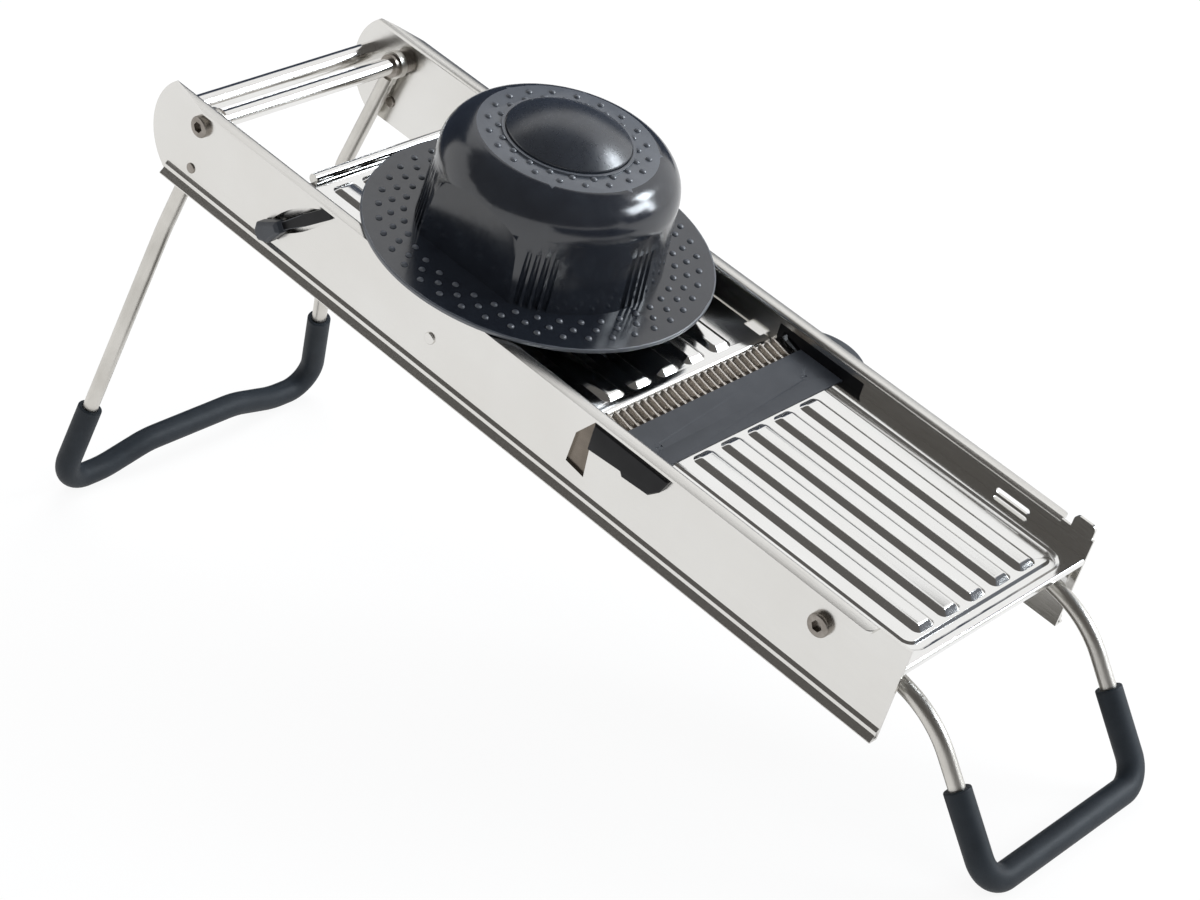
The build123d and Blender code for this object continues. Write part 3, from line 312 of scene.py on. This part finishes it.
soft_lamp(
    "far_lamp", toward=(0.55, 0.45, 0.75), distance=1.6, width=1.1, height=1.1,
    power=16.0, shows=False,
)
soft_lamp(
    "shoulder_lamp", toward=(0.61, -0.70, 0.34), distance=1.2, width=0.50, height=0.46,
    power=9.5, shows=True, colour=WINDOW_BLUE,
)
soft_lamp(
    "knob_lamp", toward=(0.72, -0.44, 0.60), distance=1.2, width=0.24, height=0.24,
    power=3.8, shows=True, colour=WINDOW_BLUE,
)
soft_lamp(
    "camera_fill", toward=(-0.25, -0.9, 0.6), distance=1.8, width=0.9, height=0.9,
    power=8.0, shows=False,
)

# %% [markdown]
# Every finish is built from the same few steps: take the point's own coordinates, turn them square to
# the deck, stretch them to the size of the grain, and read a noise there. Stretched one way the noise
# gives brushing lines, left even it gives smudges or a moulded skin. Coordinates of the object itself
# are used, so a finish stays on its piece when the piece moves.

# %% Steps shared by the finishes
NOISE_LOW = 0.3
NOISE_HIGH = 0.7


def new_finish(name, metallic, roughness):
    """A new material, its node tree and its shader."""
    finish = bpy.data.materials.new(name)
    finish.use_nodes = True
    shader = finish.node_tree.nodes["Principled BSDF"]
    shader.inputs["Metallic"].default_value = metallic
    shader.inputs["Roughness"].default_value = roughness
    return finish, finish.node_tree, shader


def grain(tree, size_mm, detail):
    """A noise whose grains have the given size across, along and away from the deck."""
    coordinates = tree.nodes.new("ShaderNodeTexCoord")
    mapping = tree.nodes.new("ShaderNodeMapping")
    mapping.vector_type = "TEXTURE"
    mapping.inputs["Rotation"].default_value = (DECK_TILT, 0.0, 0.0)
    mapping.inputs["Scale"].default_value = [side * MM for side in size_mm]
    noise = tree.nodes.new("ShaderNodeTexNoise")
    noise.inputs["Scale"].default_value = 1.0
    noise.inputs["Detail"].default_value = detail
    tree.links.new(coordinates.outputs["Object"], mapping.inputs["Vector"])
    tree.links.new(mapping.outputs["Vector"], noise.inputs["Vector"])
    return noise.outputs["Fac"]


def between(tree, amount, low, high):
    """Spread the middle of a noise over the range from low to high."""
    spread = tree.nodes.new("ShaderNodeMapRange")
    spread.inputs["From Min"].default_value = NOISE_LOW
    spread.inputs["From Max"].default_value = NOISE_HIGH
    spread.inputs["To Min"].default_value = low
    spread.inputs["To Max"].default_value = high
    tree.links.new(amount, spread.inputs["Value"])
    return spread.outputs["Result"]


def two_tones(tree, amount, first, second):
    """Drift from one tone to another over the middle of a noise."""
    ramp = tree.nodes.new("ShaderNodeValToRGB")
    for stop, place, tone in zip(ramp.color_ramp.elements, (NOISE_LOW, NOISE_HIGH), (first, second)):
        stop.position = place
        stop.color = (*tone, 1.0)
    tree.links.new(amount, ramp.inputs["Fac"])
    return ramp.outputs["Color"]


def relief(tree, shader, height, depth_mm):
    """Let a noise stand out from the surface by the given depth."""
    bump = tree.nodes.new("ShaderNodeBump")
    bump.inputs["Strength"].default_value = 1.0
    bump.inputs["Distance"].default_value = depth_mm * MM
    tree.links.new(height, bump.inputs["Height"])
    tree.links.new(bump.outputs["Normal"], shader.inputs["Normal"])


print("noise is read from", NOISE_LOW, "to", NOISE_HIGH)

# %% [markdown]
# The steel parts differ in how far they were polished and in which direction. The walls keep faint
# rolling lines along the deck, the plates are close to a mirror, and the tubes are polished along their
# length. The drawn wire of the legs is satin, and the blade is ground along the deck. The comb takes a
# darker steel than the blade, and the flange inside the near opening a near-black one: both colours are
# painted shade, for the shade between the teeth and inside the opening. Screws and rivets are dull. One
# function covers them all: it sets the size and depth of the lines, and how large the smudges are.

# %% Steel finishes
SMUDGE_DETAIL = 3.0
LINE_DETAIL = 4.0

finishes = {}


def steel(name, first, second, roughness, line_mm, line_depth_mm, smudge_mm=28.0):
    """Metal with drifting tone, smudged gloss and fine lines of the given size."""
    finish, tree, shader = new_finish(name, 1.0, roughness[0])
    smudges = grain(tree, (smudge_mm, smudge_mm, smudge_mm), SMUDGE_DETAIL)
    lines = grain(tree, line_mm, LINE_DETAIL)
    tree.links.new(two_tones(tree, smudges, first, second), shader.inputs["Base Color"])
    tree.links.new(between(tree, lines, *roughness), shader.inputs["Roughness"])
    relief(tree, shader, lines, line_depth_mm)
    finishes[name] = finish


steel(
    "side_sheet", first=(0.735, 0.72, 0.69), second=(0.77, 0.76, 0.735), roughness=(0.20, 0.27),
    line_mm=(0.5, 16.0, 0.5), line_depth_mm=0.0012, smudge_mm=45.0,
)
steel(
    "mirror_plate", first=(0.83, 0.825, 0.81), second=(0.86, 0.86, 0.85), roughness=(0.10, 0.15),
    line_mm=(0.4, 12.0, 0.4), line_depth_mm=0.0003,
)
steel(
    "bright_tube", first=(0.80, 0.79, 0.77), second=(0.84, 0.83, 0.82), roughness=(0.10, 0.16),
    line_mm=(18.0, 0.5, 0.5), line_depth_mm=0.0006,
)
steel(
    "leg_wire", first=(0.60, 0.58, 0.54), second=(0.68, 0.66, 0.62), roughness=(0.32, 0.40),
    line_mm=(0.25, 0.4, 3.0), line_depth_mm=0.0006, smudge_mm=14.0,
)
steel(
    "blade_steel", first=(0.72, 0.70, 0.67), second=(0.80, 0.79, 0.77), roughness=(0.14, 0.22),
    line_mm=(0.3, 6.0, 0.3), line_depth_mm=0.0015, smudge_mm=12.0,
)
# The comb's darker colour is painted shade: the shade that falls between its teeth.
steel(
    "comb_steel_painted_shade", first=(0.45, 0.42, 0.385), second=(0.56, 0.52, 0.48), roughness=(0.22, 0.32),
    line_mm=(0.3, 4.0, 0.3), line_depth_mm=0.0015, smudge_mm=9.0,
)
# This near-black steel is painted shade, for the flange deep inside the near opening.
steel(
    "steel_painted_shade", first=(0.15, 0.13, 0.11), second=(0.22, 0.19, 0.16), roughness=(0.22, 0.34),
    line_mm=(0.3, 8.0, 0.3), line_depth_mm=0.0015, smudge_mm=9.0,
)
steel(
    "fastener", first=(0.26, 0.235, 0.21), second=(0.36, 0.33, 0.30), roughness=(0.24, 0.36),
    line_mm=(0.4, 0.4, 0.4), line_depth_mm=0.003, smudge_mm=3.0,
)
print("steel finishes:", sorted(finishes))

# %% [markdown]
# The plastics are almost black with a cold tint, so what the eye reads is their skin. The crown and the
# knob are glossy, the brim and the top ring are satin, the cassette and its guides have the fine grain
# of a spark-eroded mould, and the sleeves on the feet are soft matt rubber. A higher index of
# refraction than the usual 1.5 gives the strong grey sheen of the pusher's filled plastic without
# lightening its body colour. A lower one keeps the guides and the rubber black.

# %% Plastic and rubber finishes
TONE_PATCH_MM = 9.0
TONE_DETAIL = 3.0
SKIN_DETAIL = 2.0


def plastic(name, first, second, roughness, skin_mm, skin_depth_mm, ior):
    """Moulded plastic or rubber: a tone that drifts a little, and a skin of even small grains."""
    finish, tree, shader = new_finish(name, 0.0, roughness[0])
    shader.inputs["IOR"].default_value = ior
    tone = grain(tree, (TONE_PATCH_MM, TONE_PATCH_MM, TONE_PATCH_MM), TONE_DETAIL)
    skin = grain(tree, (skin_mm, skin_mm, skin_mm), SKIN_DETAIL)
    tree.links.new(two_tones(tree, tone, first, second), shader.inputs["Base Color"])
    tree.links.new(between(tree, skin, *roughness), shader.inputs["Roughness"])
    relief(tree, shader, skin, skin_depth_mm)
    finishes[name] = finish
    print(name, "index of refraction:", ior)


plastic(
    "pusher_gloss", first=(0.010, 0.012, 0.017), second=(0.014, 0.017, 0.023), roughness=(0.14, 0.20),
    skin_mm=3.0, skin_depth_mm=0.004, ior=1.7,
)
plastic(
    "knob_skin", first=(0.012, 0.015, 0.021), second=(0.017, 0.021, 0.029), roughness=(0.26, 0.32),
    skin_mm=2.0, skin_depth_mm=0.004, ior=1.8,
)
plastic(
    "pusher_plastic", first=(0.046, 0.053, 0.066), second=(0.056, 0.064, 0.079), roughness=(0.34, 0.44),
    skin_mm=0.5, skin_depth_mm=0.008, ior=2.05,
)
plastic(
    "grey_plastic", first=(0.030, 0.034, 0.042), second=(0.040, 0.045, 0.054), roughness=(0.38, 0.48),
    skin_mm=0.35, skin_depth_mm=0.01, ior=1.55,
)
plastic(
    "black_plastic", first=(0.005, 0.005, 0.006), second=(0.009, 0.009, 0.010), roughness=(0.30, 0.40),
    skin_mm=0.45, skin_depth_mm=0.008, ior=1.3,
)
plastic(
    "foot_rubber", first=(0.009, 0.013, 0.018), second=(0.014, 0.019, 0.025), roughness=(0.50, 0.64),
    skin_mm=0.5, skin_depth_mm=0.012, ior=1.38,
)

# %% [markdown]
# Each CAD node already names the finish it takes in the frame's record. Giving every node that finish
# first means that nothing is left bare, whatever is dressed further later. Three nodes then get one of
# their own, by what the photo shows: the comb gets the blade's steel darkened as painted shade between
# its teeth, the cassette's screws look as dark as the cassette, and the rivet heads as pale as the wall.

# %% Give every node its finish
OWN_FINISH = {
    "julienne_comb": "comb_steel_painted_shade",
    "cassette_screws": "grey_plastic",
    "spreader_rivets": "side_sheet",
}

slot_of_node = {part["node"]: part["material_slot"] for part in frame["record"]["subparts"]}
for node_name, node_object in frame["nodes"].items():
    node_object.data.materials.clear()
    node_object.data.materials.append(finishes[slot_of_node[node_name]])
for node_name, finish_name in OWN_FINISH.items():
    frame["nodes"][node_name].data.materials[0] = finishes[finish_name]
print("nodes with a finish:", len(frame["nodes"]), "with their own:", len(OWN_FINISH))

# %% [markdown]
# A press, a mould or a tumbling drum leaves no edge truly sharp. That thin round is what catches the
# light along every sheet edge in the photo, so the real object's look depends on it. The CAD meshes are
# exact and stay as they are: a copy of each is welded, its flat faces are joined, and a narrow bevel
# runs along what is left. The copy takes the node's place and moves with the node's body. The two side
# walls come first: pressed sheet, rounded by a quarter of a millimetre.

# %% Round the edges of the walls
WELD_DISTANCE = 1e-6
FLAT_ANGLE = 0.4
EDGE_ANGLE = 32.0
SHEET_ROUND_MM = 0.25


def body_of(node):
    """The moving body that a CAD node belongs to."""
    parent = frame["nodes"][node].parent
    return next(name for name, empty in frame["bodies"].items() if empty == parent)


def welded_copy(node, name):
    """A copy of a node's mesh with its triangles joined up and flat areas merged."""
    mesh = frame["nodes"][node].data.copy()
    mesh.name = name
    shape = bmesh.new()
    shape.from_mesh(mesh)
    bmesh.ops.remove_doubles(shape, verts=shape.verts, dist=WELD_DISTANCE)
    bmesh.ops.dissolve_limit(shape, angle_limit=radians(FLAT_ANGLE), verts=shape.verts, edges=shape.edges)
    shape.to_mesh(mesh)
    shape.free()
    copy = bpy.data.objects.new(name, mesh)
    scene.collection.objects.link(copy)
    return copy


def rounded(node, name, width_mm, segments=2, edge_angle=EDGE_ANGLE):
    """The node's copy with a narrow round along its edges, standing in for the node."""
    copy = welded_copy(node, name)
    copy.data.shade_smooth()
    copy.data.set_sharp_from_angle(angle=radians(edge_angle))
    bevel = copy.modifiers.new("round", "BEVEL")
    bevel.harden_normals = True
    bevel.width = width_mm * MM
    bevel.segments = segments
    bevel.limit_method = "ANGLE"
    bevel.angle_limit = radians(edge_angle)
    bevel.use_clamp_overlap = True
    bevel.miter_outer = "MITER_ARC"
    evaluated = copy.evaluated_get(bpy.context.evaluated_depsgraph_get())
    mesh = bpy.data.meshes.new_from_object(evaluated)
    copy.modifiers.clear()
    copy.data = mesh
    mesh.name = name
    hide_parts(node)
    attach(copy, body_of(node))
    print(name, "faces:", len(mesh.polygons))
    return copy


for node in ("near_side_wall", "far_side_wall"):
    rounded(node, node + "_rounded", SHEET_ROUND_MM)

# %% [markdown]
# The feed plate and the landing plate are pressed from the same sheet. Their beads, the long ridges
# that the food slides on, have low flanks. With the walls' edge angle those flanks would be shaded
# smooth into broad dark bands, so the plates take a smaller one, which keeps each fold crisp.

# %% Round the edges of the two pressed plates
PRESSED_EDGE_ANGLE = 20.0

for node in ("feed_plate", "landing_plate"):
    rounded(node, node + "_rounded", SHEET_ROUND_MM, edge_angle=PRESSED_EDGE_ANGLE)

# %% [markdown]
# The other pieces that show their edges are rounded the same way, each as its making leaves it: the
# ground blade hardly at all, turned screws and bolts a little more, then the moulded cassette, its
# guides and the lever, and most of all the rubber sleeves.

# %% Round the cassette, the sleeves and the bolts
ROUND_MM = {
    "cassette_body": 0.4,
    "cassette_crossbar": 0.3,
    "near_cassette_guide": 0.35,
    "far_cassette_guide": 0.35,
    "thickness_lever": 0.35,
    "slicing_blade": 0.1,
    "rear_leg_sleeve": 0.5,
    "front_leg_sleeve": 0.5,
    "front_pivot_bolts": 0.3,
    "rear_axle_screws": 0.3,
    "cassette_screws": 0.2,
}
pieces = {node: rounded(node, node + "_rounded", width_mm) for node, width_mm in ROUND_MM.items()}
print("rounded here:", len(pieces))

# %% [markdown]
# The near guide is black, but the flange behind the tail of its opening looks like bare steel in deep
# shade. The faces that lie there, just inside the wall, get a near-black steel whose colour is painted
# shade. A second material on the same mesh is enough, because each face belongs wholly to one finish.

# %% The flange behind the near opening
FLANGE_OUTSIDE_X = -58.2
FLANGE_START_Y = 149.0


def second_finish(piece, finish_name, belongs):
    """Put one more finish on the faces whose middle, in deck millimetres, belongs to it."""
    piece.data.materials.append(finishes[finish_name])
    chosen = [face for face in piece.data.polygons if belongs(scene_to_deck @ face.center)]
    for face in chosen:
        face.material_index = len(piece.data.materials) - 1
    print(piece.name, "faces in", finish_name + ":", len(chosen))


def on_flange(place):
    """True for the faces just inside the wall, from the tail of the opening up the deck."""
    return place.x > FLANGE_OUTSIDE_X and place.y > FLANGE_START_Y


# The flange's faces get the near-black steel: painted shade inside the opening.
second_finish(pieces["near_cassette_guide"], "steel_painted_shade", on_flange)

# %% [markdown]
# The thickness lever sits on the near wall: a thick hub on the end of its shaft, low on the wall, and a
# flat arm that points up towards the rail. In the photo the hub is greyer than the black arm, so its
# faces get the cassette's plastic. They are picked by height, which is simpler than cutting the mesh.

# %% The lever's hub
HUB_TOP_Z = -17.0


def on_hub(place):
    """True for the faces whose middle is low on the wall, as the hub's are."""
    return place.z < HUB_TOP_Z


second_finish(pieces["thickness_lever"], "grey_plastic", on_hub)

# %% [markdown]
# The pusher is one moulding, but its mould was finished two ways: the crown was polished, the brim and
# the flat ring round the knob were left satin so that a wet thumb doesn't slip. The copy gets a second
# finish on the faces that the satin part of the mould made, picked by where they lie on the deck.

# %% The pusher's two skins
PUSHER_Y = 244.5
BRIM_TOP = 1.9
BRIM_SLACK = 0.1
CROWN_TOP = 50.0
CROWN_SLACK = 0.2
CROWN_FOOT_RADIUS = 51.4


def on_satin_skin(place):
    """True for the faces of the brim outside the crown and of the flat ring round the knob."""
    from_axis = sqrt(place.x ** 2 + (place.y - PUSHER_Y) ** 2)
    on_brim = place.z < BRIM_TOP + BRIM_SLACK and from_axis > CROWN_FOOT_RADIUS
    on_top_ring = place.z > CROWN_TOP - CROWN_SLACK
    return on_brim or on_top_ring


pusher = rounded("pusher_body", "pusher_body_rounded", width_mm=0.3, segments=3)
pusher.data.materials.clear()
pusher.data.materials.append(finishes["pusher_gloss"])
second_finish(pusher, "pusher_plastic", on_satin_skin)

# %% [markdown]
# The knob on top is a separate moulding that the palm presses down. It is less glossy than the crown.
# Its rim catches the lamps, so it gets a wider round than the sheet edges, in more steps.

# %% The plunger's knob
knob = rounded("plunger_knob", "plunger_knob_rounded", width_mm=0.5, segments=4)
knob.data.materials.clear()
knob.data.materials.append(finishes["knob_skin"])
print("knob finish:", knob.data.materials[0].name)

# %% [markdown]
# Rows of small domes stand on the brim and on the top ring. They are the same dome again and again, so
# a node tree carries it round: a circle with one vertex per dome, a dome on every vertex. Rows that
# stand between each other's domes only need another starting angle. The real mould has them drilled the
# same way, on a dividing head.

# %% A tree that carries a dome round in rows
DOME_SUBDIVISIONS = 2


def dome_rows_tree(name, rows, z, finish):
    """Rows of domes in deck millimetres; a row is its radius, its count and its first angle."""
    tree = bpy.data.node_groups.new(name, "GeometryNodeTree")
    tree.interface.new_socket("Geometry", in_out="OUTPUT", socket_type="NodeSocketGeometry")
    tree.interface.new_socket("Dome radius", in_out="INPUT", socket_type="NodeSocketFloat")
    tree.interface.new_socket("Dome height", in_out="INPUT", socket_type="NodeSocketFloat")
    given = tree.nodes.new("NodeGroupInput")
    together = tree.nodes.new("GeometryNodeJoinGeometry")
    for row_radius, count, first_angle in rows:
        circle = tree.nodes.new("GeometryNodeMeshCircle")
        circle.inputs["Vertices"].default_value = count
        circle.inputs["Radius"].default_value = row_radius
        turned = tree.nodes.new("GeometryNodeTransform")
        turned.inputs["Rotation"].default_value = (0.0, 0.0, radians(first_angle))
        turned.inputs["Translation"].default_value = (0.0, PUSHER_Y, z)
        tree.links.new(circle.outputs["Mesh"], turned.inputs["Geometry"])
        tree.links.new(turned.outputs["Geometry"], together.inputs["Geometry"])
    ball = tree.nodes.new("GeometryNodeMeshIcoSphere")
    ball.inputs["Subdivisions"].default_value = DOME_SUBDIVISIONS
    size = tree.nodes.new("ShaderNodeCombineXYZ")
    for axis, socket in zip("XYZ", ("Dome radius", "Dome radius", "Dome height")):
        tree.links.new(given.outputs[socket], size.inputs[axis])
    onto = tree.nodes.new("GeometryNodeInstanceOnPoints")
    tree.links.new(together.outputs["Geometry"], onto.inputs["Points"])
    tree.links.new(ball.outputs["Mesh"], onto.inputs["Instance"])
    tree.links.new(size.outputs["Vector"], onto.inputs["Scale"])
    real = tree.nodes.new("GeometryNodeRealizeInstances")
    dressed = tree.nodes.new("GeometryNodeSetMaterial")
    dressed.inputs["Material"].default_value = finish
    output = tree.nodes.new("NodeGroupOutput")
    tree.links.new(onto.outputs["Instances"], real.inputs["Geometry"])
    tree.links.new(real.outputs["Geometry"], dressed.inputs["Geometry"])
    tree.links.new(dressed.outputs["Geometry"], output.inputs["Geometry"])
    print(name, "rows:", len(rows), "domes:", sum(count for _, count, _ in rows))
    return tree


BRIM_ROWS = [(66.0, 40, 6.9), (61.0, 40, 2.4), (55.8, 40, 6.9)]
TOP_ROWS = [(32.5, 20, 1.4), (28.2, 20, 10.4)]
dome_trees = [
    dome_rows_tree("brim_domes", BRIM_ROWS, BRIM_TOP, finishes["pusher_plastic"]),
    dome_rows_tree("top_ring_domes", TOP_ROWS, CROWN_TOP, finishes["pusher_plastic"]),
]

# %% [markdown]
# A tree only shows its result while its modifier is on. To hand over a plain mesh, the helper below
# evaluates the modifier once, keeps the mesh, and turns it from deck millimetres into scene metres.
# Half of each ball is sunk in the plastic, so what stands out is a low dome.

# %% Domes on the brim and on the top ring
DOME_SIZE_MM = {"Dome radius": 1.45, "Dome height": 0.95}


def grown_from(name, tree, values, body):
    """The plain mesh that a node tree makes, placed on the deck and riding on a body."""
    piece = bpy.data.objects.new(name, bpy.data.meshes.new(name))
    scene.collection.objects.link(piece)
    modifier = piece.modifiers.new("grow", "NODES")
    modifier.node_group = tree
    for item in tree.interface.items_tree:
        if item.in_out == "INPUT" and item.name in values:
            modifier[item.identifier] = values[item.name]
    evaluated = piece.evaluated_get(bpy.context.evaluated_depsgraph_get())
    mesh = bpy.data.meshes.new_from_object(evaluated)
    piece.modifiers.clear()
    piece.data = mesh
    mesh.name = name
    mesh.transform(deck_to_scene)
    mesh.shade_smooth()
    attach(piece, body)
    return piece


for tree in dome_trees:
    domes = grown_from(tree.name, tree, DOME_SIZE_MM, "pusher")
    print(domes.name, "faces:", len(domes.data.polygons))
